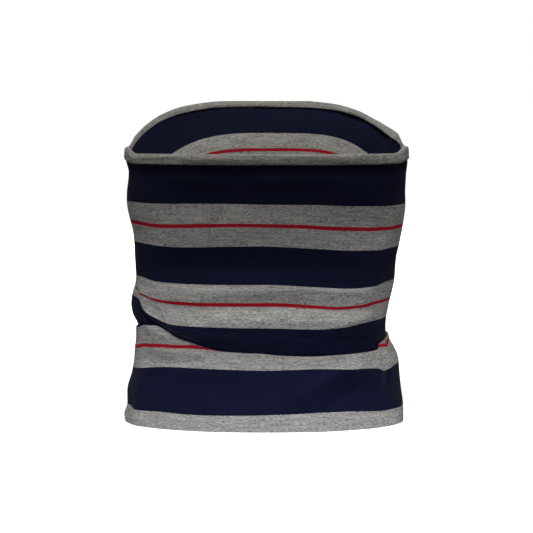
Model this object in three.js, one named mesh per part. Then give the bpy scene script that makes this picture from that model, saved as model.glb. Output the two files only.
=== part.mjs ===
// Neck gaiter: a striped jersey tube with a bound top edge and a turned-up hem.
// Units are millimetres, +Z is up, the front faces -Y and the hem stands on z = 0.
import * as THREE from 'three';
import { mergeVertices } from 'three/addons/utils/BufferGeometryUtils.js';

// ---- driving dimensions ----
const frontHeight = 212; // top of the binding at the front and at both sides
const backHeight = 251; // top of the binding at the back
const cloth = 1.0; // one layer of jersey
const gap = 0.3; // between two pieces that touch
const hemDepth = 13; // height of the turned-up hem
const bindingDepth = 8; // height of the folded strip on the top edge
const bindingCloth = 1.2; // the strip is fuller than the body
const backArch = 4; // how flat the raised back of the rim is across its middle
const aroundSteps = 72; // facets around the tube
const threadSize = 0.6;
const stitchInset = 2; // from a cloth edge to its row of stitches
const wallRows = [
  20, 28, 36, 43, 50, 57, 63, 69, 76, 84, 93,
  102, 111, 120, 130, 140, 150, 160, 170, 180, 190, 198,
];
const panelTop = frontHeight - bindingCloth - gap; // raw top edge of the body panel
const stripBottom = frontHeight - bindingDepth;
const bindingRows = [stripBottom, stripBottom + 1, stripBottom + 3.5];
const seamAngle = THREE.MathUtils.degToRad(32.5); // right-hand side, towards the back
const seamWidth = 5;

// ---- the standing shape, as [height, distance from the upright axis] ----
const frontReach = [
  [0, 56], [30, 50.2], [60, 46.2], [80, 51.8], [104, 47.4], [141, 49.4], [178, 52.8], [frontHeight, 55.4],
];
const backReach = [
  [0, 47], [42, 41], [76, 35], [110, 29.5], [140, 26.5], [160, 28.5], [178, 33], [190, 39], [201, 46.5],
  [frontHeight, 56.5],
];
const rightReach = [
  [0, 109.4], [35, 107], [50, 105], [66, 98.5], [84, 97], [110, 101.3], [154, 106], [frontHeight, 111.3],
];
const leftReach = [
  [0, 113.5], [24, 109], [42, 104], [76, 100.4], [93, 106], [114, 100.6], [142, 103.2], [frontHeight, 108.8],
];

// Plan section, as [height, roundness]: 2 is an ellipse, more is boxier.
const roundness = [[0, 2.3], [60, 2.45], [130, 2.75], [frontHeight, 2.8]];

const dyes = {
  navy: new THREE.MeshStandardMaterial({ color: 0x141a33, roughness: 0.9, metalness: 0 }),
  heather: new THREE.MeshStandardMaterial({ color: 0x9a9896, roughness: 0.92, metalness: 0 }),
  thread: new THREE.MeshStandardMaterial({ color: 0x8c8a88, roughness: 0.7, metalness: 0 }),
};

// Smooth value of a [height, value] list at one height.
function valueAt(knots, height) {
  const last = knots.length - 1;
  const upper = Math.min(Math.max(knots.findIndex(([knotHeight]) => knotHeight >= height), 1), last);
  const [lowHeight, lowValue] = knots[upper - 1];
  const [highHeight, highValue] = knots[upper];
  const share = THREE.MathUtils.clamp((height - lowHeight) / (highHeight - lowHeight), 0, 1);
  return THREE.MathUtils.lerp(lowValue, highValue, share * share * (3 - 2 * share));
}

// Point on the outside of the cloth. Angle 0 is the right side, 90 degrees is the back.
function wallPoint(angle, height) {
  const side = Math.cos(angle);
  const depth = Math.sin(angle);
  const front = valueAt(frontReach, height);
  const back = valueAt(backReach, height);
  const middle = (back - front) / 2;
  const halfDepth = (back + front) / 2;
  const halfWidth = valueAt(side > 0 ? rightReach : leftReach, height);
  const power = valueAt(roundness, height);
  const fill = (Math.abs(side) ** power + Math.abs(depth) ** power) ** (-1 / power);
  const lift = depth > 0 ? 1 - Math.abs(side * fill) ** backArch : 0;
  return new THREE.Vector3(
    side * fill * halfWidth,
    middle + depth * fill * halfDepth,
    height * (1 + (backHeight / frontHeight - 1) * lift),
  );
}

// The same point moved level, straight out of the cloth (positive) or into the tube (negative).
function offsetPoint(angle, height, outset) {
  const smallTurn = 0.01;
  const ahead = wallPoint(angle + smallTurn, height);
  const behind = wallPoint(angle - smallTurn, height);
  const out = new THREE.Vector3(ahead.y - behind.y, behind.x - ahead.x, 0).normalize();
  return wallPoint(angle, height).addScaledVector(out, outset);
}

// Keeps only the positions, so that shared corners can be merged.
function bare(geometry) {
  geometry.deleteAttribute('normal');
  geometry.deleteAttribute('uv');
  return geometry;
}

// Closed ring that follows the tube. Its section is a list of [outset, height] that closes on itself.
function drapedRing(section) {
  const laneRadius = 10; // keeps the flat section clear of the lathe's axis
  const closedSection = [...section, section[0]];
  const profile = closedSection.map(([outset, height]) => new THREE.Vector2(laneRadius + outset, height));
  const ring = new THREE.LatheGeometry(profile, aroundSteps);
  const place = ring.attributes.position;
  for (let i = 0; i < place.count; i += 1) {
    const outset = Math.hypot(place.getX(i), place.getZ(i)) - laneRadius;
    const stepAngle = (Math.PI * 2) / aroundSteps;
    const turn = Math.round(Math.atan2(place.getX(i), place.getZ(i)) / stepAngle) * stepAngle;
    const spot = offsetPoint(turn, place.getY(i), outset);
    place.setXYZ(i, spot.x, spot.y, spot.z);
  }
  const merged = mergeVertices(bare(ring), 1e-3);
  merged.computeVertexNormals();
  return merged;
}

// Body panel: one cloth up the outside, and two layers where the hem is turned up inside.
function makeBodyPanel() {
  const rows = [hemDepth, ...wallRows, ...bindingRows, panelTop];
  const outside = [0, hemDepth / 2, ...rows].map((height) => [0, height]);
  const inside = rows.slice(1).reverse().map((height) => [-cloth, height]);
  const turnedUp = [[-cloth, hemDepth + gap], ...[hemDepth - gap, hemDepth / 2, 0].map((height) => (
    [-2 * cloth - gap, height]))];
  return drapedRing([...outside, ...inside, ...turnedUp]);
}

// Binding: a strip folded over the raw top edge, hanging down inside and out.
function makeRimBinding() {
  const thick = gap + bindingCloth;
  const legRows = [...bindingRows.slice(1), panelTop];
  const outerLeg = legRows.map((height) => [thick, height]);
  const innerLeg = legRows.map((height) => [-cloth - thick, height]).reverse();
  const fold = [[thick / 2, frontHeight], [-cloth - thick / 2, frontHeight]];
  const hollowOutside = bindingRows.map((height) => [gap, height]).reverse();
  const hollowInside = bindingRows.map((height) => [-cloth - gap, height]);
  const bridge = panelTop + gap;
  const underBridge = [[-cloth - gap, bridge], [gap, bridge]];
  return drapedRing([
    ...outerLeg, ...fold, ...innerLeg, ...hollowInside, ...underBridge, ...hollowOutside,
  ]);
}

// Row of stitching drawn as one thread around the tube.
function makeThreadRing(height, outset) {
  return drapedRing([
    [outset, height], [outset + threadSize, height], [outset + threadSize, height + threadSize],
    [outset, height + threadSize],
  ]);
}

// Side seam: both raw edges of the panel, overlocked together and lying flat inside.
function makeSideSeam() {
  const lastRow = wallRows.length - 1;
  const strip = mergeVertices(bare(new THREE.BoxGeometry(seamWidth, cloth, lastRow, 1, 1, lastRow)));
  const facet = (Math.PI * 2) / aroundSteps;
  const left = offsetPoint(seamAngle - facet / 2, wallRows[lastRow], 0);
  const right = offsetPoint(seamAngle + facet / 2, wallRows[lastRow], 0);
  const turnPerWidth = facet / left.distanceTo(right);
  const inset = -cloth - 2 * gap - cloth / 2;
  const place = strip.attributes.position;
  for (let i = 0; i < place.count; i += 1) {
    const height = wallRows[Math.round(place.getZ(i) + lastRow / 2)];
    const spot = offsetPoint(seamAngle - place.getX(i) * turnPerWidth, height, inset + place.getY(i));
    place.setXYZ(i, spot.x, spot.y, spot.z);
  }
  strip.computeVertexNormals();
  return strip;
}

function piece(name, geometry, material) {
  const mesh = new THREE.Mesh(geometry, material);
  mesh.name = name;
  return mesh;
}

const bindingOutside = gap + bindingCloth + gap;
const neckGaiter = new THREE.Group();
neckGaiter.add(
  piece('body_panel', makeBodyPanel(), dyes.navy),
  piece('rim_binding', makeRimBinding(), dyes.heather),
  piece('side_seam', makeSideSeam(), dyes.heather),
  piece('binding_thread', makeThreadRing(stripBottom + stitchInset, bindingOutside), dyes.thread),
  piece('hem_thread', makeThreadRing(hemDepth - stitchInset, gap), dyes.thread),
);

export default neckGaiter;
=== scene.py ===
import math

import bmesh
import bpy
import numpy as np
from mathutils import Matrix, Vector


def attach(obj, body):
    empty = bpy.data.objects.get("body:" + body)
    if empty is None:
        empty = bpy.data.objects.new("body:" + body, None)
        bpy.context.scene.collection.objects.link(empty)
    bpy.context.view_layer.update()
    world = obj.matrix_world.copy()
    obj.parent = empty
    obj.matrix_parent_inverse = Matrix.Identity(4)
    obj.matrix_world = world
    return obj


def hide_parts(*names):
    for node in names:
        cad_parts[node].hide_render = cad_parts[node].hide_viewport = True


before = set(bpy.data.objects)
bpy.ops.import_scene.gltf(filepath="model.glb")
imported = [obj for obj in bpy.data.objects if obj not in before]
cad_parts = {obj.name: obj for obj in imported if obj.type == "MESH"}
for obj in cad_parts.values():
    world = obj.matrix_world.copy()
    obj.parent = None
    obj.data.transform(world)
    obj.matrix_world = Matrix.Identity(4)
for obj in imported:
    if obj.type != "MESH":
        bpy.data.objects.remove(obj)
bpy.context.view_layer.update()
scene = bpy.context.scene
scene.view_settings.view_transform = "Standard"

mm = 0.001  # everything below is thought out in millimetres and built in metres


def smoothThrough(knots, where):
    # Smooth curve through (position, value) knots that doesn't overshoot between them
    x = np.array([k[0] for k in knots], float)
    y = np.array([k[1] for k in knots], float)
    steps = np.diff(x)
    slopes = np.diff(y) / steps
    tangents = np.zeros(len(x))
    for i in range(1, len(x) - 1):
        if slopes[i - 1] * slopes[i] > 0:
            before, after = 2 * steps[i] + steps[i - 1], steps[i] + 2 * steps[i - 1]
            tangents[i] = (before + after) / (before / slopes[i - 1] + after / slopes[i])
    tangents[0], tangents[-1] = slopes[0], slopes[-1]
    where = np.clip(np.asarray(where, float), x[0], x[-1])
    i = np.clip(np.searchsorted(x, where, side="right") - 1, 0, len(steps) - 1)
    t = (where - x[i]) / steps[i]
    rise = (3 - 2 * t) * t * t
    return (
        y[i] * (1 - rise)
        + y[i + 1] * rise
        + steps[i] * (t * (1 - t) ** 2 * tangents[i] - t * t * (1 - t) * tangents[i + 1])
    )


def smoothStep(low, high, value):
    t = np.clip((value - low) / (high - low), 0, 1)
    return t * t * (3 - 2 * t)


# ---- the standing shape of the tube ----

gaiter = {
    "frontHeight": 212.0,
    "backHeight": 251.0,
    "clothLength": 250.0,  # from the rim to the lower fold of the hem
    "turnedUp": 13.0,
    "around": 520.0,
    "seamAngle": 32.5,  # degrees from the right side towards the back
    # [height, power of the plan section]: 2 is an ellipse and more is boxier
    "boxiness": [(0, 2.2), (60, 2.4), (130, 2.75), (212, 2.8)],
    # [height, distance from the upright axis], as the tube stands
    "frontReach": [(0, 56), (13, 53.2), (30, 49.8), (47, 46.8), (60, 45.2), (70, 47), (78, 48.7),
                   (84, 47.8), (90, 46), (96, 45.1), (105, 44.7), (113, 44.2), (122, 43.7),
                   (130, 43.9), (141, 45.2), (160, 48.6), (178, 51.8), (195, 54.2), (204, 54.8),
                   (212, 55)],
    "backReach": [(0, 47), (42, 41), (76, 35), (110, 29.5), (140, 26.5), (160, 28.5), (178, 33),
                  (190, 39), (201, 46.5), (212, 56.5)],
    "rightReach": [(0, 109.4), (10, 108.7), (33, 107), (49, 105), (58, 100.6), (66, 96.6), (80, 97),
                   (98, 99), (110, 101.3), (136, 103.9), (154, 106), (171, 108.2), (185, 109.2),
                   (196, 110.4), (204, 111), (212, 110.2)],
    "leftReach": [(0, 111.5), (5, 112.4), (12, 110.4), (24, 109.4), (41, 104.2), (58, 102), (72, 101),
                  (80, 103.4), (86, 105.4), (92, 106), (98, 104.4), (104, 102), (110, 100.9),
                  (116, 100.4), (142, 103.2), (175, 106.6), (190, 107.6), (203, 108.8), (212, 107.8)],
    # [cloth below the rim, height]: where each part of the cloth comes to rest
    "frontDrop": [(0, 212), (8, 204), (38, 174.6), (54.5, 158), (71, 141.4), (104, 113.2), (112, 105.6),
                  (120.5, 97.4), (128, 89.6), (137, 79.2)],
    "leftDrop": [(0, 212), (8, 204), (38, 174.7), (54.5, 158.5), (71, 142.4), (104, 115), (112, 109.6),
                 (120.5, 107.6), (128, 105.4), (137, 100.2)],
    "rightDrop": [(0, 212), (8, 204), (38, 173), (54.5, 154.8), (71, 137.2), (104, 111), (112, 104),
                  (120.5, 96.6), (128, 91.6), (137, 84.6)],
    "backDrop": [(0, 251), (8, 246.2), (38, 225), (54.5, 212), (71, 197), (104, 162), (137, 126),
                 (170, 90), (203, 54), (236, 15.5), (250, 0)],
    # how the front of each line of cloth sags between the sides: [distance to the right, how much lower]
    "sag": {
        38: [(-98, -0.2), (-80, 0.5), (-45, 0.1), (0, 0.7), (40, 1.2), (65, 2.1), (85, 2.2), (98, 1),
             (104, -0.3)],
        54.5: [(-98, -0.6), (-80, 1), (-45, 0.4), (-20, 0), (20, 0.7), (55, 2.9), (75, 3.2), (92, 2),
               (104, -1.4)],
        71: [(-98, -1.1), (-65, 0.8), (-20, -0.2), (0, -0.3), (40, 1.8), (65, 3.1), (85, 2.3), (98, -1),
             (104, -2.6)],
        104: [(-98, -2), (-88, 0.3), (-45, 1.4), (0, 1), (40, 3.2), (65, 4.4), (85, 2.9), (98, -1.6),
              (104, -2.8)],
        120.5: [(-98, 1), (-90, 1.8), (-65, 0.9), (0, 0.9), (40, 3), (60, 4.2), (75, 3.3), (92, 0),
                (104, -2)],
        137: [(-104, -1.5), (-98, -4.2), (-95, -2.6), (-91, 0.6), (-84, 1.4), (-65, 0), (-45, -0.7),
              (0, -0.1), (40, 1.2), (65, 0), (85, -1.5), (104, 0)],
        203: [(-98, -2), (-80, -1.1), (-20, 0.7), (0, 1.3), (40, 0.4), (75, 1), (90, 1.6), (96, 4.2),
              (99, 2.4), (104, -0.6)],
        236: [(-106, -1.2), (-98, 1), (-80, 0), (-45, 0.8), (0, 0), (60, -1.3), (92, -0.3), (104, -1.5)],
    },
    "sideReach": 104,  # distance to the right that stands for the very side in the lists of the front
    # [share of the way to the side, share of the raised back that the rim has there]
    "rimLiftLeft": [(0, 1), (0.3, 0.985), (0.6, 0.89), (0.78, 0.715), (0.88, 0.53), (0.92, 0.43),
                    (0.965, 0.27), (1, 0)],
    "rimLiftRight": [(0, 1), (0.3, 0.985), (0.5, 0.93), (0.674, 0.8), (0.79, 0.64), (0.9, 0.465),
                     (0.96, 0.33), (1, 0)],
    "lowerLiftFrom": 38,  # cloth below which the raised back falls off by a plain power instead
    "lowerLiftPower": (3.1, 4.2),  # left and right
    # heights of the skirt under the tuck, at two lines of cloth
    "skirtLines": (203, 236),
    "frontSkirt": (47.6, 13.0),
    "leftSkirt": (41.0, 13.5),
    "rightSkirt": (46.0, 11.0),
}

# The tuck: the upper cloth slides down behind the lip of the skirt. [distance to the right, value]
tuck = {
    "lipHeight": [(-104, 75.5), (-97, 79.3), (-90, 79.9), (-86, 78.6), (-80, 74.6), (-72, 69.9),
                  (-65, 67.5), (-56, 65), (-47, 63.1), (-39, 61.3), (-34, 60.6), (-19, 59.4),
                  (-4, 58.6), (11, 57.2), (42, 56.4), (57, 57.2), (72, 57.6), (87, 58.4), (94, 59),
                  (97, 60.6), (99.5, 64.8), (101, 65.4), (102.5, 67), (104, 69)],
    "lipCloth": [(-104, 170.4), (-97, 169), (-90, 168.4), (-86, 169.8), (-80, 173.6), (-72, 178.4),
                 (-65, 181.2), (-56, 183.8), (-47, 185.6), (-39, 187), (-34, 187.6), (-19, 188.6),
                 (0, 189.4), (45, 190), (65, 189.6), (78, 189.2), (87, 188.9), (94, 188.4), (97, 187),
                 (99.5, 182.5), (101, 181.5), (104, 182)],
    "pocket": 3.4,  # how far the upper cloth lies behind the lip
    "lip": 1.6,  # how far the lip rolls forward
    "closerRight": 0.5,  # share by which both are less at the right side
    "fadeBehind": 0.62,  # share of the back half over which it dies away
    "fadeDrop": 0.3,  # share of the lost fold by which the lip sinks there
    "fall": 0.99,  # height lost by each millimetre of cloth above the lip
    "fullFold": 34,  # cloth hidden where the tuck is at full strength
    "leastFold": 5.0,
    "foldDepth": 0.45,  # share of the hidden cloth that the fold reaches below the lip
    "foldTurn": 0.48,  # share of the hidden cloth on the way down to the turn
}

panelGrid = {
    "columns": 256,
    "rowStep": 1.75,
    "foldRowStep": 1.15,
    "topStart": 2.2,  # the raw edge stays inside the binding
    "foldRows": (128, 206),  # stretch of cloth with the closer rows
    "thickness": 0.9,
    "hemGap": 1.25,
    "hemRowStep": 1.9,
}


def sectionPoint(angle, height, lift):
    # Point of the standing tube at a height of the front; lift is 1 at the middle of the back
    side, depth = np.cos(angle), np.sin(angle)
    n = smoothThrough(gaiter["boxiness"], height)
    fill = (np.abs(side) ** n + np.abs(depth) ** n) ** (-1 / n)
    front = smoothThrough(gaiter["frontReach"], height)
    back = smoothThrough(gaiter["backReach"], height)
    right, left = smoothThrough(gaiter["rightReach"], height), smoothThrough(gaiter["leftReach"], height)
    wide = np.where(side > 0, right, left)
    x = side * fill * wide
    y = (back - front) / 2 + depth * fill * (back + front) / 2
    z = height * (1 + (gaiter["backHeight"] / gaiter["frontHeight"] - 1) * lift)
    return np.stack([x, y, z], -1)


def sideShare(angle):
    # -1 at the left side, 0 in the middle, 1 at the right side
    side, depth = np.cos(angle), np.sin(angle)
    n = gaiter["boxiness"][-1][1]
    return side * (np.abs(side) ** n + np.abs(depth) ** n) ** (-1 / n)


def evenAngles(count):
    # Angles that cut the tube into equal lengths, starting at the side seam
    start = math.radians(gaiter["seamAngle"])
    fine = start + np.linspace(0, 2 * math.pi, 4001)
    plainHeight = np.full(len(fine), 150.0)  # above the tuck, where the wall is smooth
    ring = sectionPoint(fine, plainHeight, np.zeros(len(fine)))
    lengths = np.concatenate([[0], np.cumsum(np.linalg.norm(np.diff(ring, axis=0), axis=1))])
    return np.interp(np.linspace(0, lengths[-1], count + 1), lengths, fine)


def liftAt(angle, cloth):
    # How much of the raised back each column takes, from 0 at the sides to 1
    share = sideShare(angle)
    low = smoothStep(0, gaiter["lowerLiftFrom"], cloth)
    near, left = np.abs(share), share < 0
    rimLeft = smoothThrough(gaiter["rimLiftLeft"], near)
    rimRight = smoothThrough(gaiter["rimLiftRight"], near)
    rim = np.where(left, rimLeft, rimRight)
    lower = 1 - near ** np.where(left, *gaiter["lowerLiftPower"])
    return np.where(np.sin(angle) > 0, rim * (1 - low) + lower * low, 0)


def columnDrop(angle, cloth):
    # Height and roll-out of one column of cloth, and the cloth that would lie at that height untucked
    share = float(sideShare(angle))
    side = "leftDrop" if share < 0 else "rightDrop"
    skirt = gaiter["leftSkirt"] if share < 0 else gaiter["rightSkirt"]
    behind = math.sin(angle) > 0
    toSide = 1.0 if behind else abs(share) ** 6
    reach = share * gaiter["sideReach"]
    frontness = 1 - float(smoothStep(0, 0.5, math.sin(angle)))
    sag = {line: frontness * float(smoothThrough(knots, reach)) for line, knots in gaiter["sag"].items()}
    upper = [
        (c, zf + (zs - zf) * toSide - sag.get(c, 0))
        for (c, zf), (_, zs) in zip(gaiter["frontDrop"], gaiter[side])
    ]
    lastCloth, lastHeight = upper[-1]
    lines = gaiter["skirtLines"]
    highSkirt, lowSkirt = (
        zf + (zs - zf) * toSide - sag[line]
        for line, zf, zs in zip(lines, gaiter["frontSkirt"], skirt)
    )
    end = (gaiter["clothLength"], 0)
    lipReach = math.copysign(gaiter["sideReach"], share) if behind else reach
    lipTop = float(smoothThrough(tuck["lipHeight"], lipReach))
    top = float(smoothThrough(tuck["lipCloth"], lipReach))
    hidden = max(0.0, top - lastCloth - (lastHeight - lipTop) / tuck["fall"])
    if behind:  # the tuck opens out behind the sides
        fade = 1 - float(smoothStep(0, tuck["fadeBehind"], 1 - abs(share) ** 2))
        lipTop -= hidden * (1 - fade) * tuck["fadeDrop"]
        hidden *= fade
    strength = hidden / tuck["fullFold"]
    hidden = max(hidden, tuck["leastFold"])
    meets = top - hidden
    depth = hidden * tuck["foldDepth"]
    bottom = meets + hidden * tuck["foldTurn"]
    turn = hidden * 0.1 + 0.6  # cloth on either side of the bottom that goes round it
    tucked = upper + [
        (meets, lipTop),
        (bottom - turn, lipTop - depth * 0.86),
        (bottom, lipTop - depth),
        (bottom + turn, lipTop - depth * 0.86),
        (top - hidden * 0.07, lipTop - 0.9),
        (top - 0.3, lipTop + 0.35),
        (top + 1.4, lipTop - 0.3),
        (top + 3.6, lipTop - 2.2),
        (max(lines[0], top + 7), highSkirt - max(0, top + 7 - lines[0])),
        (lines[1], lowSkirt),
        end,
    ]
    halfway = ((lastCloth + lines[0]) / 2, (lastHeight + highSkirt) / 2 + 3)
    plain = upper + [halfway, (lines[0], highSkirt), (lines[1], lowSkirt), end]
    slack = 1 - tuck["closerRight"] * max(0.0, share) ** 6
    pocket, lip = tuck["pocket"] * slack, tuck["lip"] * slack
    outs = [
        (0, 0),
        (128, 0),
        (meets - 6, -pocket * 0.45),
        (meets, -pocket),
        (bottom - turn, -pocket * 1.02),
        (bottom, -pocket * 0.72),
        (bottom + turn, -pocket * 0.4),
        (top - hidden * 0.07, -0.7),
        (top - 0.3, lip * 0.15),
        (top + 1.4, lip * 0.75),
        (top + 3.6, lip),
        (max(lines[0], top + 9), lip * 0.75),
        (232, 0),
        end,
    ]
    tuckShare = float(smoothStep(0.04, 0.4, strength))
    height = smoothThrough(plain, cloth) * (1 - tuckShare) + smoothThrough(tucked, cloth) * tuckShare
    every = np.linspace(0, gaiter["clothLength"], 251)
    even = np.interp(-height, -smoothThrough(plain, every), every)
    return height, smoothThrough(outs, cloth) * min(1, tuckShare * 1.2), even


# Soft creases in the cloth: [around, cloth] points, then width and height. Around is 0 at the front.
creaseGain = 1.5  # all heights are multiplied by this
creases = [
    ([(-70, 18), (-20, 22), (60, 17)], 7, 0.5),
    ([(-95, 14), (95, 13)], 3.5, -0.7),
    ([(-80, 86), (-20, 90), (70, 84)], 9, -1.1),
    ([(-90, 110), (-30, 112), (30, 108), (85, 111)], 5, 1.3),
    ([(-100, 122), (-60, 123), (10, 120), (80, 124)], 4.5, -1.4),
    ([(-85, 132), (-40, 133), (40, 131), (90, 134)], 5, 1.3),
    ([(-100, 118), (-75, 119), (-50, 118)], 5, 1.2),
    ([(-95, 131), (-72, 132), (-50, 131)], 5, -1.6),
    ([(-100, 184), (-80, 185), (-60, 187)], 5, 1.2),
    ([(-100, 196), (-80, 196), (-60, 195)], 5, -1.7),
    ([(-88, 153), (-60, 144), (-30, 148)], 3, -0.6),
    ([(20, 157), (60, 148), (92, 162)], 3, -0.8),
    ([(50, 146), (75, 135), (98, 132)], 4, 0.9),
    ([(-20, 162), (10, 155), (40, 164)], 3.5, 0.5),
    ([(-106, 206), (-99, 214), (-92, 222)], 4.5, -1.0),
    ([(34, 240), (84, 216)], 6, -1.5),
    ([(24, 224), (74, 203)], 6, 1.5),
    ([(108.5, 172), (107.5, 205), (108, 211)], 2.6, -1.4),
    ([(-109, 165), (-109, 171)], 3.5, -2.2),
    ([(-101, 164), (-102, 173)], 3, 0.9),
    ([(-128, 119), (-114, 120.5)], 3.2, -1.9),
    ([(-99, 143), (-86, 154), (-63, 172)], 5, -1.7),
    ([(-78, 141), (-50, 150), (-25, 153)], 5, 1.5),
    ([(101, 200), (99, 220)], 4.0, 0.7),
    ([(-108, 250), (-107, 225), (-106, 207)], 5.0, 1.2),
    ([(-118, 246), (-117, 225)], 4.0, -1.0),
    ([(-60, 209), (-10, 206), (30, 210)], 5.0, 0.7),
    ([(-108, 116), (-106, 126), (-103, 133), (-98, 141)], 3.5, 1.2),
    ([(98, 96), (94, 108), (90, 120)], 4.0, 0.8),
    ([(-150, 60), (-140, 100), (-150, 140)], 9, 1.0),
    ([(-190, 150), (-180, 190), (-195, 220)], 8, -1.2),
    ([(150, 120), (165, 150), (160, 190)], 8, 1.2),
    ([(190, 80), (200, 120), (195, 160)], 10, -1.0),
    ([(-240, 90), (-230, 150), (-245, 200)], 12, -1.2),
    ([(225, 180), (235, 210), (230, 240)], 7, 0.9),
]


def creaseField(around, cloth):
    total = np.zeros_like(around)
    for points, width, height in creases:
        nearest = np.full(around.shape, 1e9)
        for (a0, c0), (a1, c1) in zip(points, points[1:]):
            length2 = (a1 - a0) ** 2 + (c1 - c0) ** 2
            t = np.clip(((around - a0) * (a1 - a0) + (cloth - c0) * (c1 - c0)) / length2, 0, 1)
            distance = np.hypot(around - a0 - t * (a1 - a0), cloth - c0 - t * (c1 - c0))
            nearest = np.minimum(nearest, distance)
        total += creaseGain * height * np.exp(-((nearest / width) ** 2))
    return total


# Waves of the cloth: seed, longest, shortest and height
bodyWaves = ((11, 105, 40, 1.4), (5, 32, 12, 0.2))
waveCount = 14  # single waves in each set


def softWaves(around, cloth, seed, longest, shortest, height):
    # Slow seeded unevenness that closes on itself around the tube
    rng = np.random.default_rng(seed)
    total = np.zeros_like(around)
    for _ in range(waveCount):
        size = longest * (shortest / longest) ** rng.random()
        heading = rng.random() * math.pi
        turns = round(gaiter["around"] * math.cos(heading) / size)
        phase = turns * around / gaiter["around"] + cloth * math.sin(heading) / size + rng.random()
        total += np.sin(2 * math.pi * phase) * (size / longest) ** 0.7
    return height * total / math.sqrt(waveCount)


def aroundOf(angles):
    # Millimetres around the cloth from the middle of the front, rising to the right
    steps = np.linspace(0, gaiter["around"], len(angles))
    frontAt = np.interp(1.5 * math.pi, angles, steps)
    around = steps - frontAt
    return np.where(around > gaiter["around"] / 2, around - gaiter["around"], around)


def drapedSurface(angles, cloth):
    # Points of the cloth, columns by rows, with the outward level direction of each
    count, rows = len(angles), len(cloth)
    height, out, even = np.zeros((3, count, rows))
    for i, angle in enumerate(angles):
        height[i], out[i], even[i] = columnDrop(angle, cloth)
    angle2 = np.repeat(angles[:, None], rows, 1)
    cloth2 = np.repeat(cloth[None, :], count, 0)
    lift = liftAt(angle2, cloth2)
    backHeight = smoothThrough(gaiter["backDrop"], cloth2)
    z = height * (1 - lift) + backHeight * lift
    stretch = 1 + (gaiter["backHeight"] / gaiter["frontHeight"] - 1) * lift
    level = z / stretch
    point = sectionPoint(angle2, level, lift)
    smallTurn = 0.01
    ahead = sectionPoint(angle2 + smallTurn, level, lift)
    behind = sectionPoint(angle2 - smallTurn, level, lift)
    along = ahead - behind
    outward = np.stack([along[..., 1], -along[..., 0], np.zeros_like(z)], -1)
    outward /= np.linalg.norm(outward, axis=-1, keepdims=True)
    around2 = np.repeat(aroundOf(angles)[:, None], rows, 1)
    nearHem = smoothStep(gaiter["skirtLines"][1], gaiter["clothLength"], cloth2)
    settled = smoothStep(4, 16, cloth2) * (1 - 0.7 * nearHem)
    waves = creaseField(around2, even)
    for waveSet in bodyWaves:
        waves += softWaves(around2, even, *waveSet)
    out = out * (1 - lift) + waves * settled
    point = point + outward * out[..., None]
    point[..., 2] = np.maximum(point[..., 2], 0)
    return point, outward


def gridMesh(name, points, faceUv):
    # Quads between rows of points and columns that close on themselves; faceUv gives a corner's (u, v)
    columns, rows = points.shape[0], points.shape[1]
    mesh = bpy.data.meshes.new(name)
    verts = (points.reshape(-1, 3) * mm).tolist()
    faces, uvs = [], []
    for i in range(columns):
        j = (i + 1) % columns
        for r in range(rows - 1):
            faces.append((i * rows + r, i * rows + r + 1, j * rows + r + 1, j * rows + r))
            uvs += [faceUv(i, r), faceUv(i, r + 1), faceUv(i + 1, r + 1), faceUv(i + 1, r)]
    mesh.from_pydata(verts, [], faces)
    layer = mesh.uv_layers.new(name="clothMap")
    layer.data.foreach_set("uv", np.array(uvs, float).ravel())
    mesh.polygons.foreach_set("use_smooth", [True] * len(faces))
    mesh.update()
    piece = bpy.data.objects.new(name, mesh)
    scene.collection.objects.link(piece)
    return piece


def facesOutward(piece):
    # Turns the faces if most of them look at the upright axis
    mesh = piece.data
    total = 0.0
    for face in mesh.polygons:
        total += face.area * (face.normal.x * face.center.x + face.normal.y * face.center.y)
    if total < 0:
        mesh.flip_normals()


def bakeModifiers(piece):
    baked = bpy.data.meshes.new_from_object(piece.evaluated_get(bpy.context.evaluated_depsgraph_get()))
    piece.modifiers.clear()
    piece.data = baked
    baked.polygons.foreach_set("use_smooth", [True] * len(baked.polygons))


def thicken(piece, thickness):
    # The cloth's thickness is added on the inside
    modifier = piece.modifiers.new("clothThickness", "SOLIDIFY")
    modifier.thickness = thickness * mm
    modifier.offset = -1
    modifier.use_even_offset = False
    bakeModifiers(piece)


def makeBodyPanel():
    length, up = gaiter["clothLength"], gaiter["turnedUp"]
    coarse, fine = panelGrid["rowStep"], panelGrid["foldRowStep"]
    foldStart, foldEnd = panelGrid["foldRows"]
    cloth = np.concatenate([
        np.arange(panelGrid["topStart"], foldStart, coarse),
        np.arange(foldStart, foldEnd, fine),
        np.arange(foldEnd, length - 1.5, coarse),
        [length - 0.9, length - 0.3, length],
    ])
    angles = evenAngles(panelGrid["columns"])
    points, outward = drapedSurface(angles[:-1], cloth)
    hem, hemOut = points[:, -1:, :], outward[:, -1:, :]
    inner = []
    hemRows = np.arange(length + 1.6, length + up + 0.1, panelGrid["hemRowStep"])
    innerCloth = [length + 0.5, *hemRows]
    for c in innerCloth:  # the turned-up hem follows the wall, one cloth and a little air inside it
        wall, wallOut = drapedSurface(angles[:-1], np.array([2 * length - c]))
        inset = panelGrid["hemGap"] * (0.55 if c < length + 1 else 1.0)
        layer = wall - wallOut * inset
        layer[..., 2] = np.maximum(layer[..., 2], 0.05)
        inner.append(layer)
    points = np.concatenate([points] + inner, 1)
    cloth = np.concatenate([cloth, innerCloth])
    uv = [
        [(i / panelGrid["columns"], 1 - c / (length + up)) for c in cloth]
        for i in range(panelGrid["columns"] + 1)
    ]
    piece = gridMesh("body_panel_cloth", points, lambda i, r: uv[i][r])
    facesOutward(piece)
    thicken(piece, panelGrid["thickness"])
    print("body panel:", len(piece.data.polygons), "faces")
    return piece


# ---- the strip over the top edge ----

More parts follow.
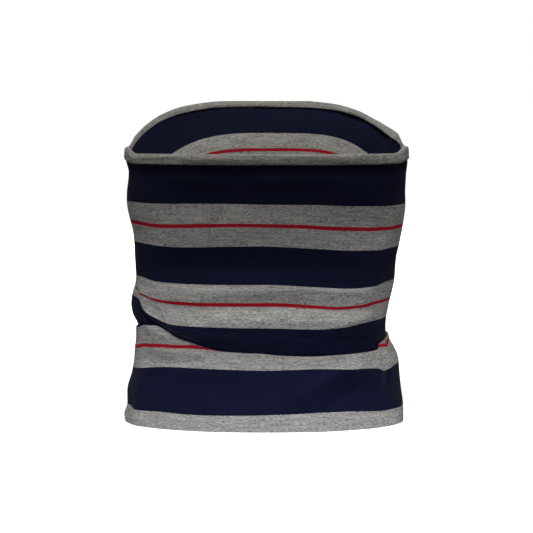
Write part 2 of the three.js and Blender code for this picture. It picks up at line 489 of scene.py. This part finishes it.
binding = {
    "columns": 512,
    "thickness": 0.55,
    "mapWidth": 24.0,  # millimetres of cloth across the strip's map
    # [off the cloth, below the rim]: outside edge, over the top, and down inside
    "section": [(0.15, 7.3), (0.5, 8.0), (1.2, 8.15), (1.85, 7.7), (2.2, 6.9), (2.32, 5.6), (2.3, 4.2),
                (2.2, 2.8), (1.95, 1.5), (1.4, 0.55), (0.6, 0.05), (-0.3, -0.02), (-1.2, 0.2),
                (-2.1, 0.8), (-2.7, 1.8), (-2.95, 3.2), (-3.0, 4.8), (-2.9, 6.2), (-2.6, 7.2),
                (-2.0, 7.7), (-1.4, 7.4), (-1.15, 6.8)],
    "puffs": ((23, 60, 9, 0.3), (29, 14, 5, 0.1)),  # seed, longest, shortest and height
    "groove": (0.35, 5.9, 0.9),  # the line pressed by the stitches: depth, place below the rim, width
    "tallerEnds": (0.3, 98, 108),  # share, and the stretch to the side over which it grows
    "stitchedAt": (5, 17),  # points of the section that the two rows of stitches follow
    # [distance to the right, how much higher] along the front
    "endBumps": [(-112, 5.0), (-107, 4.4), (-103, 1.8), (-98, -0.3), (-88, 0), (98, 0), (103, 1.4),
                 (107, 4.4), (112, 5.6)],
    "looseFrom": (40, 88),  # at the back right the inner leg comes away from the cloth
    "looseBy": (3.0, 2.2),  # inwards and down
}


def makeRimBinding():
    angles = evenAngles(binding["columns"])[:-1]
    cloth = np.array([0.0, 2.0, 8.0])
    points, outward = drapedSurface(angles, cloth)
    rim = points[:, 0]
    down = points[:, 2] - points[:, 0]
    down /= np.linalg.norm(down, axis=1, keepdims=True)
    along = np.roll(rim, -1, 0) - np.roll(rim, 1, 0)
    along /= np.linalg.norm(along, axis=1, keepdims=True)
    out = np.cross(along, down)
    out *= np.sign(np.sum(out * outward[:, 0], 1))[:, None]
    section = np.array(binding["section"])
    backward = outward[:, 0, 1]
    atFront = 1 - smoothStep(-0.2, 0.75, backward)
    bump = smoothThrough(binding["endBumps"], rim[:, 0]) * atFront
    tallerBy, *tallerFrom = binding["tallerEnds"]
    taller = tallerBy * smoothStep(*tallerFrom, np.abs(rim[:, 0])) * atFront
    loose = smoothStep(*binding["looseFrom"], rim[:, 0]) * smoothStep(0.3, 0.8, backward)
    looseIn, looseDown = binding["looseBy"]
    grooveDepth, grooveAt, grooveWidth = binding["groove"]
    around = np.linspace(0, gaiter["around"], binding["columns"], endpoint=False)
    rows = []
    for off, below in section:
        place = np.full_like(around, below * 6.0)
        puff = sum(softWaves(around, place, *waveSet) for waveSet in binding["puffs"])
        groove = -grooveDepth * math.exp(-(((below - grooveAt) / grooveWidth) ** 2))
        groove *= 1 if off > 0 else 0.6
        swell = (puff + groove) * np.sign(off if abs(off) > 0.7 else 0.5)
        inner = float(smoothStep(-1.0, -2.4, off))
        away = inner * loose * (1 + 0.35 * np.sin(around / 4.3))
        off2 = off + swell - away * looseIn * float(smoothStep(0.5, 6, below))
        below2 = below * (1 + taller) + 0.3 * puff + away * looseDown * below / 8 - bump
        rows.append(rim + out * off2[:, None] + down * below2[:, None])
    points = np.stack(rows, 1)
    points[..., 2] = np.minimum(points[..., 2], gaiter["backHeight"])
    lengths = np.concatenate([[0], np.cumsum(np.linalg.norm(np.diff(section, axis=0), axis=1))])
    uv = [
        [(i / binding["columns"], s / lengths[-1]) for s in lengths]
        for i in range(binding["columns"] + 1)
    ]
    piece = gridMesh("rim_binding_cloth", points, lambda i, r: uv[i][r])
    thickenInside(piece)
    print("rim binding:", len(piece.data.polygons), "faces")
    return piece, [points[:, k] for k in binding["stitchedAt"]]


def thickenInside(piece):
    # The strip is open underneath, so its outer skin is found before it gets its thickness
    mesh = piece.data
    top = max(v.co.z for v in mesh.vertices)
    highest = [f for f in mesh.polygons if f.center.z > top - 0.0012]
    if sum(f.normal.z for f in highest) < 0:
        mesh.flip_normals()
    thicken(piece, binding["thickness"])


# ---- finishes ----


def newGroup(name, inputs, outputs):
    group = bpy.data.node_groups.new(name, "ShaderNodeTree")
    for label, kind, value in inputs:
        socket = group.interface.new_socket(label, in_out="INPUT", socket_type=kind)
        if value is not None:
            socket.default_value = value
    for label, kind in outputs:
        group.interface.new_socket(label, in_out="OUTPUT", socket_type=kind)
    return group, group.nodes.new("NodeGroupInput"), group.nodes.new("NodeGroupOutput")


def mathNode(tree, operation, first, second=None, third=None):
    node = tree.nodes.new("ShaderNodeMath")
    node.operation = operation
    for socket, value in zip(node.inputs, (first, second, third)):
        if value is None:
            continue
        if isinstance(value, (int, float)):
            socket.default_value = value
        else:
            tree.links.new(value, socket)
    return node.outputs[0]


def jerseyKnitGroup():
    # Rows of small V-shaped loops, with a painted shade and highlight of their relief; the vector is in
    # millimetres of cloth
    group, given, result = newGroup(
        "jerseyKnit",
        [("Vector", "NodeSocketVector", None), ("Wale", "NodeSocketFloat", 0.8),
         ("Course", "NodeSocketFloat", 0.6)],
        [("Height", "NodeSocketFloat"), ("Painted Shade", "NodeSocketFloat")],
    )
    split = group.nodes.new("ShaderNodeSeparateXYZ")
    group.links.new(given.outputs["Vector"], split.inputs[0])
    wale = mathNode(group, "FRACT", mathNode(group, "DIVIDE", split.outputs[0], given.outputs["Wale"]))
    half = mathNode(group, "ABSOLUTE", mathNode(group, "SUBTRACT", wale, 0.5))
    slanted = mathNode(
        group, "ADD", mathNode(group, "DIVIDE", split.outputs[1], given.outputs["Course"]),
        mathNode(group, "MULTIPLY", half, 1.5),
    )
    alongLoop = mathNode(group, "FRACT", slanted)
    loop = mathNode(group, "SINE", mathNode(group, "MULTIPLY", alongLoop, math.pi))
    leg = mathNode(group, "SINE", mathNode(group, "MULTIPLY", half, 2 * math.pi))
    legHeight = mathNode(group, "ADD", mathNode(group, "MULTIPLY", leg, 0.7), 0.3)
    height = mathNode(group, "MULTIPLY", loop, legHeight)
    # painted shade and highlight: darker in the valleys between loops, lighter than the yarn on the loop
    # tops
    paintedShade = mathNode(group, "ADD", mathNode(group, "MULTIPLY", height, 0.3), 0.82)
    group.links.new(height, result.inputs["Height"])
    group.links.new(paintedShade, result.inputs["Painted Shade"])
    return group


def heatherYarnGroup():
    # Mixed light and dark fibres drawn out along the courses
    group, given, result = newGroup(
        "heatherYarn",
        [("Vector", "NodeSocketVector", None), ("Light", "NodeSocketColor", (0.5, 0.5, 0.5, 1)),
         ("Dark", "NodeSocketColor", (0.2, 0.2, 0.2, 1)), ("Contrast", "NodeSocketFloat", 1.0)],
        [("Color", "NodeSocketColor"), ("Fluff", "NodeSocketFloat")],
    )
    streaks = []
    for along, across, detail in ((0.3, 1.9, 2.0), (0.6, 2.9, 2.0), (0.06, 0.5, 1.0)):
        mapping = group.nodes.new("ShaderNodeVectorMath")
        mapping.operation = "MULTIPLY"
        mapping.inputs[1].default_value = (along, across, 1)
        group.links.new(given.outputs["Vector"], mapping.inputs[0])
        noise = group.nodes.new("ShaderNodeTexNoise")
        noise.inputs["Scale"].default_value = 1.0
        noise.inputs["Detail"].default_value = detail
        noise.inputs["Roughness"].default_value = 0.6
        group.links.new(mapping.outputs[0], noise.inputs["Vector"])
        streaks.append(noise.outputs["Fac"])
    coarse, middle, fine = (
        mathNode(group, "MULTIPLY", streak, share)
        for streak, share in zip(streaks, (0.5, 0.32, 0.18))
    )
    blend = mathNode(group, "ADD", mathNode(group, "ADD", coarse, middle), fine)
    centred = mathNode(group, "SUBTRACT", blend, 0.5)
    fac = mathNode(group, "ADD", mathNode(group, "MULTIPLY", centred, given.outputs["Contrast"]), 0.5)
    mix = group.nodes.new("ShaderNodeMix")
    mix.data_type = "RGBA"
    group.links.new(fac, mix.inputs["Factor"])
    group.links.new(given.outputs["Dark"], mix.inputs[6])
    group.links.new(given.outputs["Light"], mix.inputs[7])
    group.links.new(mix.outputs[2], result.inputs["Color"])
    group.links.new(streaks[1], result.inputs["Fluff"])
    return group


knitGroup = jerseyKnitGroup()
yarnGroup = heatherYarnGroup()

yarns = {
    "grey": {"Light": (0.6, 0.583, 0.553, 1), "Dark": (0.15, 0.144, 0.136, 1), "Contrast": 5.2},
    "rim": {"Light": (0.52, 0.503, 0.472, 1), "Dark": (0.1, 0.096, 0.089, 1), "Contrast": 5.2},
    "navy": {"Light": (0.0042, 0.0074, 0.032, 1), "Dark": (0.0026, 0.004, 0.018, 1), "Contrast": 2.4},
    "red": {"Light": (0.55, 0.012, 0.028, 1), "Dark": (0.3, 0.005, 0.014, 1), "Contrast": 1.0},
}
jerseyRelief = (0.5, 0.00025)  # strength and depth of the knit's bump


def newMaterial(name):
    material = bpy.data.materials.new(name)
    material.use_nodes = True
    tree = material.node_tree
    shader = tree.nodes["Principled BSDF"]
    shader.inputs["Specular IOR Level"].default_value = 0.12
    return material, tree, shader


def clothVector(tree, across, along):
    # The piece's own cloth map, turned into millimetres
    uv = tree.nodes.new("ShaderNodeUVMap")
    uv.uv_map = "clothMap"
    scale = tree.nodes.new("ShaderNodeVectorMath")
    scale.operation = "MULTIPLY"
    scale.inputs[1].default_value = (across, along, 1)
    tree.links.new(uv.outputs[0], scale.inputs[0])
    return scale.outputs[0]


def placed(tree, group, vector, **values):
    node = tree.nodes.new("ShaderNodeGroup")
    node.node_tree = group
    tree.links.new(vector, node.inputs["Vector"])
    for label, value in values.items():
        node.inputs[label].default_value = value
    return node


def colorMix(tree, factor, first, second, blend="MIX"):
    node = tree.nodes.new("ShaderNodeMix")
    node.data_type = "RGBA"
    node.blend_type = blend
    sockets = (node.inputs["Factor"], node.inputs[6], node.inputs[7])
    for socket, value in zip(sockets, (factor, first, second)):
        if isinstance(value, (int, float, tuple)):
            socket.default_value = value
        else:
            tree.links.new(value, socket)
    return node.outputs[2]


def knitBump(tree, shader, height, strength, distance):
    bump = tree.nodes.new("ShaderNodeBump")
    bump.inputs["Strength"].default_value = strength
    bump.inputs["Distance"].default_value = distance
    tree.links.new(height, bump.inputs["Height"])
    tree.links.new(bump.outputs[0], shader.inputs["Normal"])


stripes = {
    "repeat": 66.0,  # one navy stripe and one grey stripe
    "firstNavy": 5.0,  # where the first navy would start, below the rim
    "redWidth": 2.9,
}


def sheen(shader):
    shader.inputs["Sheen Weight"].default_value = 0.03
    shader.inputs["Sheen Roughness"].default_value = 0.45


def stripedJersey(materialName):
    material, tree, shader = newMaterial(materialName)
    length = gaiter["clothLength"] + gaiter["turnedUp"]
    vector = clothVector(tree, gaiter["around"], length)
    split = tree.nodes.new("ShaderNodeSeparateXYZ")
    tree.links.new(vector, split.inputs[0])
    wobble = tree.nodes.new("ShaderNodeTexNoise")
    wobble.inputs["Scale"].default_value = 1.6
    tree.links.new(vector, wobble.inputs["Vector"])
    below = mathNode(tree, "SUBTRACT", length - stripes["firstNavy"], split.outputs[1])
    uneven = mathNode(tree, "MULTIPLY", mathNode(tree, "SUBTRACT", wobble.outputs["Fac"], 0.5), 0.5)
    below = mathNode(tree, "ADD", below, uneven)
    phase = mathNode(tree, "FRACT", mathNode(tree, "DIVIDE", below, stripes["repeat"]))
    isGrey = mathNode(tree, "GREATER_THAN", phase, 0.5)
    fromRed = mathNode(tree, "ABSOLUTE", mathNode(tree, "SUBTRACT", phase, 0.75))
    isRed = mathNode(tree, "LESS_THAN", fromRed, stripes["redWidth"] / 2 / stripes["repeat"])
    grey, navy, red = (placed(tree, yarnGroup, vector, **yarns[name]) for name in ("grey", "navy", "red"))
    color = colorMix(tree, isGrey, navy.outputs["Color"], grey.outputs["Color"])
    color = colorMix(tree, isRed, color, red.outputs["Color"])
    knit = placed(tree, knitGroup, vector)
    # the knit's painted shade and highlight multiply the stripe colour
    shaded = colorMix(tree, 1.0, color, knit.outputs["Painted Shade"], "MULTIPLY")
    tree.links.new(shaded, shader.inputs["Base Color"])
    rough = mathNode(tree, "ADD", mathNode(tree, "MULTIPLY", knit.outputs["Height"], -0.08), 0.86)
    tree.links.new(rough, shader.inputs["Roughness"])
    sheen(shader)
    fluff = mathNode(tree, "MULTIPLY", grey.outputs["Fluff"], 0.5)
    height = mathNode(tree, "ADD", knit.outputs["Height"], fluff)
    knitBump(tree, shader, height, *jerseyRelief)
    return material


def greyHeatherJersey():
    material, tree, shader = newMaterial("greyHeatherJersey")
    vector = clothVector(tree, gaiter["around"], binding["mapWidth"])
    grey = placed(tree, yarnGroup, vector, **yarns["rim"])
    knit = placed(tree, knitGroup, vector)
    # the knit's painted shade and highlight multiply the heather colour
    shaded = colorMix(tree, 1.0, grey.outputs["Color"], knit.outputs["Painted Shade"], "MULTIPLY")
    tree.links.new(shaded, shader.inputs["Base Color"])
    shader.inputs["Roughness"].default_value = 0.85
    sheen(shader)
    knitBump(tree, shader, knit.outputs["Height"], *jerseyRelief)
    return material


def sewingThread():
    material, tree, shader = newMaterial("sewingThread")
    place = tree.nodes.new("ShaderNodeTexCoord")
    twist = tree.nodes.new("ShaderNodeTexNoise")
    twist.inputs["Scale"].default_value = 2600
    tree.links.new(place.outputs["Object"], twist.inputs["Vector"])
    color = colorMix(tree, twist.outputs["Fac"], yarns["grey"]["Dark"], yarns["grey"]["Light"])
    tree.links.new(color, shader.inputs["Base Color"])
    shader.inputs["Roughness"].default_value = 0.55
    knitBump(tree, shader, twist.outputs["Fac"], 0.4, 0.0001)
    return material


jerseyMaterial = stripedJersey("stripedJersey")
seamMaterial = stripedJersey("seamEdge")  # its own finish, in the colours of the cloth it joins
heatherMaterial = greyHeatherJersey()
threadMaterial = sewingThread()
print("finishes made")

bodyPanel = makeBodyPanel()
bodyPanel.data.materials.append(jerseyMaterial)
rimBinding, bindingLines = makeRimBinding()
rimBinding.data.materials.append(heatherMaterial)

# ---- side seam and stitch rows ----

seam = {
    "width": 5.4,
    "thickness": 1.5,
    "offCloth": 0.75,  # from the inside of the cloth to the middle of the strip
    "radius": 100.0,  # about how far it is from the upright axis
    # [share of half the width, share of half the thickness] around the strip
    "section": [(-1, 0.0), (-0.75, 0.5), (-0.3, 1.0), (0.2, 0.95), (0.7, 0.6), (1, 0.0), (0.7, -0.35),
                (0.2, -0.45), (-0.3, -0.45), (-0.75, -0.35)],
    "top": 9.0,  # below the rim, under the binding's lower edge
    "bottom": 236.0,
    "rows": 150,
}


def makeSideSeam():
    angle = math.radians(gaiter["seamAngle"])
    cloth = np.linspace(seam["top"], seam["bottom"], seam["rows"])
    turn = seam["width"] / 2 / seam["radius"]
    columns = []
    for a, h in seam["section"]:
        wall, outward = drapedSurface(np.array([angle + a * turn]), cloth)
        wander = 0.03 * np.sin(cloth / 11.0 + 2 * a)
        inset = panelGrid["thickness"] + seam["offCloth"] + h * seam["thickness"] * 0.5
        columns.append(wall[0] - outward[0] * (inset + wander)[:, None])
    points = np.stack(columns, 0)
    length = gaiter["clothLength"] + gaiter["turnedUp"]
    piece = gridMesh(
        "side_seam_overlock", points, lambda i, r: (i / panelGrid["columns"], 1 - cloth[r] / length)
    )
    count, rows = len(columns), seam["rows"]
    closeEnds(piece.data, [range(0, count * rows, rows), range(count * rows - 1, 0, -rows)])
    print("side seam:", len(piece.data.polygons), "faces")
    return piece


def closeEnds(mesh, ends):
    # Closes the two ends and points every face outward
    work = bmesh.new()
    work.from_mesh(mesh)
    work.verts.ensure_lookup_table()
    for ring in ends:
        work.faces.new([work.verts[i] for i in ring])
    bmesh.ops.recalc_face_normals(work, faces=work.faces)
    work.to_mesh(mesh)
    work.free()


sideSeam = makeSideSeam()
sideSeam.data.materials.append(seamMaterial)

stitches = {
    "length": 2.1,
    "pitch": 3.0,
    "thread": 0.42,
    # [cloth below the rim, off the outside of the cloth]: the hem's rows outside and inside
    "hemRows": [(239.0, 0.02), (240.0, -2.4)],
    "linePoints": 900,
}


def stitchTree():
    # Lays one short rounded stitch at even steps along a line
    tree = bpy.data.node_groups.new("stitchRow", "GeometryNodeTree")
    face = tree.interface
    face.new_socket("Geometry", in_out="INPUT", socket_type="NodeSocketGeometry")
    for label, value in (("Stitch Length", 0.002), ("Pitch", 0.003), ("Thread", 0.0004)):
        face.new_socket(label, in_out="INPUT", socket_type="NodeSocketFloat").default_value = value
    face.new_socket("Material", in_out="INPUT", socket_type="NodeSocketMaterial")
    face.new_socket("Geometry", in_out="OUTPUT", socket_type="NodeSocketGeometry")
    nodes, links = tree.nodes, tree.links
    given, result = nodes.new("NodeGroupInput"), nodes.new("NodeGroupOutput")
    curve = nodes.new("GeometryNodeMeshToCurve")
    links.new(given.outputs["Geometry"], curve.inputs["Mesh"])
    points = nodes.new("GeometryNodeCurveToPoints")
    points.mode = "LENGTH"
    links.new(curve.outputs[0], points.inputs["Curve"])
    links.new(given.outputs["Pitch"], points.inputs["Length"])
    stitch = nodes.new("GeometryNodeMeshUVSphere")
    stitch.inputs["Segments"].default_value = 6
    stitch.inputs["Rings"].default_value = 6
    stitch.inputs["Radius"].default_value = 0.5
    turned = nodes.new("FunctionNodeAlignEulerToVector")
    turned.axis = "Z"
    links.new(points.outputs["Tangent"], turned.inputs["Vector"])
    size = nodes.new("ShaderNodeCombineXYZ")
    links.new(given.outputs["Thread"], size.inputs[0])
    links.new(given.outputs["Thread"], size.inputs[1])
    links.new(given.outputs["Stitch Length"], size.inputs[2])
    place = nodes.new("GeometryNodeInstanceOnPoints")
    links.new(points.outputs["Points"], place.inputs["Points"])
    links.new(stitch.outputs["Mesh"], place.inputs["Instance"])
    links.new(turned.outputs[0], place.inputs["Rotation"])
    links.new(size.outputs[0], place.inputs["Scale"])
    real = nodes.new("GeometryNodeRealizeInstances")
    links.new(place.outputs[0], real.inputs[0])
    finish = nodes.new("GeometryNodeSetMaterial")
    links.new(real.outputs[0], finish.inputs["Geometry"])
    links.new(given.outputs["Material"], finish.inputs["Material"])
    links.new(finish.outputs[0], result.inputs[0])
    return tree


stitchRowTree = stitchTree()


def stitchRow(name, lines):
    # One piece of stitches along lines that close on themselves
    mesh = bpy.data.meshes.new(name)
    verts, edges = [], []
    for line in lines:
        start = len(verts)
        verts += (line * mm).tolist()
        edges += [(start + i, start + i + 1) for i in range(len(line) - 1)]
        edges.append((start + len(line) - 1, start))
    mesh.from_pydata(verts, edges, [])
    piece = bpy.data.objects.new(name, mesh)
    scene.collection.objects.link(piece)
    modifier = piece.modifiers.new("stitchRow", "NODES")
    modifier.node_group = stitchRowTree
    names = {s.name: s.identifier for s in stitchRowTree.interface.items_tree if s.in_out == "INPUT"}
    modifier[names["Stitch Length"]] = stitches["length"] * mm
    modifier[names["Pitch"]] = stitches["pitch"] * mm
    modifier[names["Thread"]] = stitches["thread"] * mm
    modifier[names["Material"]] = threadMaterial
    bakeModifiers(piece)
    print(name, len(piece.data.polygons), "faces")
    return piece


def stitchLine(cloth, offset):
    angles = evenAngles(stitches["linePoints"])[:-1]
    wall, outward = drapedSurface(angles, np.array([cloth]))
    return wall[:, 0] + outward[:, 0] * offset


hemStitches = stitchRow("hem_stitches", [stitchLine(*row) for row in stitches["hemRows"]])
bindingStitches = stitchRow("binding_stitches", bindingLines)

# ---- how the pieces stand in the frame ----

for piece, node, slot in (
    (bodyPanel, "body_panel", "striped_jersey"),
    (rimBinding, "rim_binding", "grey_heather_jersey"),
    (sideSeam, "side_seam", "seam_edge"),
    (hemStitches, "hem_thread", "sewing_thread"),
    (bindingStitches, "binding_thread", "sewing_thread"),
):
    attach(piece, "root")
    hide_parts(node)

print("pieces placed")

# ---- floor, light and camera ----

studio = {
    "floorColor": (0.95, 0.95, 0.95, 1),
    "floorBounce": (0.16, 0.16, 0.16, 1),  # the floor gives little light back to the cloth
    "floorGlow": (0.62, 1.0),  # near the gaiter and far from it
    "glowFade": (0.2, 0.8),  # metres from the gaiter
    "floorReach": 12.0,
    "worldGlow": 0.03,
    # place, aim, size, watts, spread in degrees, colour
    "lamps": {
        "overhead": ((0.0, -0.42, 1.4), (0, 0.0, 0.1), (0.8, 0.6), 12.6, 180, (1, 0.99, 0.97)),
        "frontFill": ((0.0, -2.2, 0.6), (0, 0, 0.1), (2.0, 1.4), 0.45, 180, (1, 0.9, 0.8)),
        "skirtBox": ((0.0, -1.0, 0.05), (0, 0, -0.09), (0.9, 0.2), 0.74, 30, (0.96, 1, 1.06)),
        "leftBox": ((-1.4, -0.3, 0.5), (0, 0, 0.1), (0.7, 0.9), 1.8, 180, (1, 0.93, 0.86)),
        "rightBox": ((1.4, -0.3, 0.5), (0, 0, 0.1), (0.7, 0.9), 1.8, 180, (1, 0.93, 0.86)),
        "backBox": ((0.0, 1.7, 0.7), (0, 0, 0.12), (1.6, 1.0), 13, 180, (1, 1, 1)),
    },
}


def makeFloor():
    mesh = bpy.data.meshes.new("floor")
    reach = studio["floorReach"]
    corners = [(-reach, -reach, 0), (reach, -reach, 0), (reach, reach, 0), (-reach, reach, 0)]
    mesh.from_pydata(corners, [], [(0, 1, 2, 3)])
    floor = bpy.data.objects.new("floor", mesh)
    scene.collection.objects.link(floor)
    material, tree, shader = newMaterial("paleFloor")
    shader.inputs["Roughness"].default_value = 0.9
    rays = tree.nodes.new("ShaderNodeLightPath")
    color = colorMix(tree, rays.outputs["Is Camera Ray"], studio["floorBounce"], studio["floorColor"])
    tree.links.new(color, shader.inputs["Base Color"])
    place = tree.nodes.new("ShaderNodeTexCoord")
    away = tree.nodes.new("ShaderNodeVectorMath")
    away.operation = "LENGTH"
    tree.links.new(place.outputs["Object"], away.inputs[0])
    fade = tree.nodes.new("ShaderNodeMapRange")
    fade.interpolation_type = "SMOOTHSTEP"
    fade.inputs["From Min"].default_value, fade.inputs["From Max"].default_value = studio["glowFade"]
    fade.inputs["To Min"].default_value, fade.inputs["To Max"].default_value = studio["floorGlow"]
    tree.links.new(away.outputs["Value"], fade.inputs["Value"])
    glow = mathNode(tree, "MULTIPLY", fade.outputs[0], rays.outputs["Is Camera Ray"])
    shader.inputs["Emission Color"].default_value = (1, 1, 1, 1)
    tree.links.new(glow, shader.inputs["Emission Strength"])
    mesh.materials.append(material)


def makeLamp(name, place, aim, size, watts, spread, color):
    data = bpy.data.lights.new(name, "AREA")
    data.shape = "RECTANGLE"
    data.size, data.size_y = size
    data.energy = watts
    data.spread = math.radians(spread)
    data.color = color
    lamp = bpy.data.objects.new(name, data)
    lamp.location = place
    lamp.rotation_euler = (Vector(aim) - Vector(place)).to_track_quat("-Z", "Y").to_euler()
    lamp.visible_camera = False
    scene.collection.objects.link(lamp)


def makeWorld():
    world = bpy.data.worlds.new("studio")
    scene.world = world
    world.use_nodes = True
    tree = world.node_tree
    glow = tree.nodes["Background"]
    glow.inputs[0].default_value = (1, 1, 1, 1)
    glow.inputs[1].default_value = studio["worldGlow"]
    seen = tree.nodes.new("ShaderNodeBackground")
    seen.inputs[1].default_value = 1.0
    seen.inputs[0].default_value = (1, 1, 1, 1)
    rays = tree.nodes.new("ShaderNodeLightPath")
    mix = tree.nodes.new("ShaderNodeMixShader")
    tree.links.new(rays.outputs["Is Camera Ray"], mix.inputs[0])
    tree.links.new(glow.outputs[0], mix.inputs[1])
    tree.links.new(seen.outputs[0], mix.inputs[2])
    tree.links.new(mix.outputs[0], tree.nodes["World Output"].inputs[0])


makeFloor()
for lampName, values in studio["lamps"].items():
    makeLamp(lampName, *values)
makeWorld()

view = {
    "place": (0.0011, -1.2555, 0.26),
    "pitch": 6.3,  # degrees down
    "lens": 108.07,
}
cameraData = bpy.data.cameras.new("camera")
cameraData.lens = view["lens"]
cameraData.sensor_width = 36
camera = bpy.data.objects.new("camera", cameraData)
camera.location = view["place"]
camera.rotation_euler = (math.radians(90 - view["pitch"]), 0, 0)
scene.collection.objects.link(camera)
scene.camera = camera
print("studio ready")
